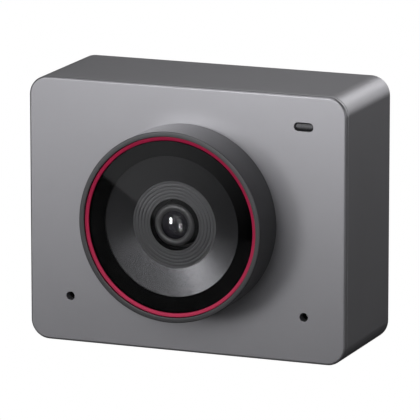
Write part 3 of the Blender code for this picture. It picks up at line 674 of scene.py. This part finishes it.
def softbox(name, azimuth, elevation, distance, width, height, radiance, colour=(1.0, 1.0, 1.0), aim=AIM):
    """A rectangular softbox.  Azimuth 0 is in front of the lens and 90 is on its right seen from the front."""
    a, e = math.radians(azimuth), math.radians(elevation)
    out = Vector((math.sin(a) * math.cos(e), -math.cos(a) * math.cos(e), math.sin(e)))
    light = bpy.data.lights.new(name, "AREA")
    light.shape = "RECTANGLE"
    light.size, light.size_y = width, height
    light.energy = radiance * math.pi * width * height
    light.color = colour
    obj = bpy.data.objects.new(name, light)
    obj.location = aim + out * distance
    obj.rotation_euler = (-out).to_track_quat("-Z", "Y").to_euler()
    obj.visible_camera = False
    scene.collection.objects.link(obj)
    return obj


softbox("key_low", -31, 2, 0.50, 0.14, 0.14, 3.65)
softbox("key", -28, 10, 0.50, 0.14, 0.14, 3.06)
softbox("front_low", 0, 10, 0.13, 0.06, 0.06, 0.575)
softbox("front_right", 8, 8, 0.13, 0.05, 0.05, 1.5)
softbox("front_left", -15, 22, 0.13, 0.06, 0.06, 2.35)
softbox("front_high", 0, 22, 0.13, 0.06, 0.06, 1.85)
softbox("left_high", -30, 65, 0.13, 0.06, 0.06, 1.38)
softbox("top", 15, 74, 0.13, 0.06, 0.06, 1.43)
softbox("left_low", -42, -5, 0.13, 0.03, 0.03, 1.2)
softbox("right", 72, 10, 0.50, 0.20, 0.20, 2.52)
softbox("back_left", 190, 30, 0.50, 0.20, 0.20, 0.621)
softbox("back_far_left", 215, 30, 0.50, 0.20, 0.20, 0.362)
softbox("back_right", 165, 27, 0.50, 0.20, 0.20, 2.58)
softbox("back_corner", 157, 12, 0.50, 0.20, 0.20, 1.26)
softbox("back_side", 140, 8, 0.50, 0.20, 0.20, 0.659)
glint = softbox("lens_glint", -42, 7, 0.15, 0.075, 0.085, 130.0, aim=Vector((0.0, PANEL_Y * MM, LENS_Z * MM)))
lit = bpy.data.collections.new("lens_only")             # a catch light that shines on the front lens alone
lit.objects.link(lens)
glint.light_linking.receiver_collection = lit

world = bpy.data.worlds.new("studio")
world.use_nodes = True
scene.world = world
nodes, links = world.node_tree.nodes, world.node_tree.links
ambient = nodes["Background"]
ambient.inputs["Color"].default_value = (0.004, 0.004, 0.004, 1.0)
ambient.inputs["Strength"].default_value = 1.0
paper = nodes.new("ShaderNodeBackground")
paper.inputs["Color"].default_value = (1.0, 1.0, 1.0, 1.0)
path = nodes.new("ShaderNodeLightPath")
mix = nodes.new("ShaderNodeMixShader")
links.new(path.outputs["Is Camera Ray"], mix.inputs["Fac"])
links.new(ambient.outputs["Background"], mix.inputs[1])
links.new(paper.outputs["Background"], mix.inputs[2])
links.new(mix.outputs["Shader"], nodes["World Output"].inputs["Surface"])

# ------------------------------------------------------------------ camera at the photograph's angle
AZ, EL, DIST = math.radians(21.747), math.radians(12.335), 0.830
back = Vector((math.sin(AZ) * math.cos(EL), -math.cos(AZ) * math.cos(EL), math.sin(EL)))
right = Vector((math.cos(AZ), math.sin(AZ), 0.0))
up = back.cross(right)
cam_data = bpy.data.cameras.new("camera")
cam_data.sensor_fit = "HORIZONTAL"
cam_data.sensor_width = 36.0
cam_data.lens = 4990.7 / 420.0 * 36.0
cam_data.clip_start, cam_data.clip_end = 0.01, 20.0
cam = bpy.data.objects.new("camera", cam_data)
cam.location = Vector((0.0, (PANEL_Y + 10.175) * MM, MID_Z * MM)) + back * DIST + right * 0.000182 - up * 0.000335
cam.rotation_euler = (-back).to_track_quat("-Z", "Y").to_euler()
scene.collection.objects.link(cam)
scene.camera = cam

# ------------------------------------------------------------------ card that mirrors in the cover glass
GLASS_Y, CARD_Y = PANEL_Y - 6.92, PANEL_Y - 6.92 - 86.0
eye = Vector((cam.location.x / MM, 2 * GLASS_Y - cam.location.y / MM, cam.location.z / MM))
verts, faces, na, nb = [], [], 20, 20
for j in range(nb + 1):
    for i in range(na + 1):
        a, b = -8.0 + 34.0 * i / na, 24.0 * j / nb
        spot = Vector((-11.2 + 0.814 * a + 0.581 * b, GLASS_Y, LENS_Z + 7.2 - 0.581 * a + 0.814 * b))
        ray = spot - eye
        p = eye + ray * ((CARD_Y - eye.y) / ray.y)
        verts.append((p.x * MM, p.y * MM, max(p.z, 0.5) * MM))
for j in range(nb):
    for i in range(na):
        a = j * (na + 1) + i
        faces.append((a, a + 1, a + na + 2, a + na + 1))
mesh = bpy.data.meshes.new("reflector_card")
mesh.from_pydata(verts, [], faces)
card = bpy.data.objects.new("reflector_card", mesh)
scene.collection.objects.link(card)
mat = bpy.data.materials.new("card_glow")
mat.use_nodes = True
nodes, links = mat.node_tree.nodes, mat.node_tree.links
nodes.remove(nodes["Principled BSDF"])
glow = nodes.new("ShaderNodeEmission")
coords = nodes.new("ShaderNodeTexCoord").outputs["Object"]
lean = nodes.new("ShaderNodeVectorMath")
lean.operation = "DOT_PRODUCT"
lean.inputs[1].default_value = (0.85, 0.0, -0.53)
links.new(coords, lean.inputs[0])
middle = Vector((0.0, GLASS_Y, LENS_Z)) - eye
middle = (eye + middle * ((CARD_Y - eye.y) / middle.y)) * MM
mid = 0.85 * middle.x - 0.53 * middle.z
fade = nodes.new("ShaderNodeMapRange")
fade.interpolation_type = "SMOOTHSTEP"
fade.inputs["From Min"].default_value = mid - 0.011
fade.inputs["From Max"].default_value = mid + 0.015
fade.inputs["To Min"].default_value = 0.39
fade.inputs["To Max"].default_value = 0.0
links.new(lean.outputs["Value"], fade.inputs["Value"])
links.new(fade.outputs["Result"], glow.inputs["Strength"])
links.new(glow.outputs["Emission"], nodes["Material Output"].inputs["Surface"])
mesh.materials.append(mat)
card.visible_camera = card.visible_diffuse = card.visible_shadow = card.visible_transmission = False

scene.view_settings.view_transform = "Standard"
scene.view_settings.look = "None"
scene.view_settings.exposure = 0.0
scene.view_settings.gamma = 1.0
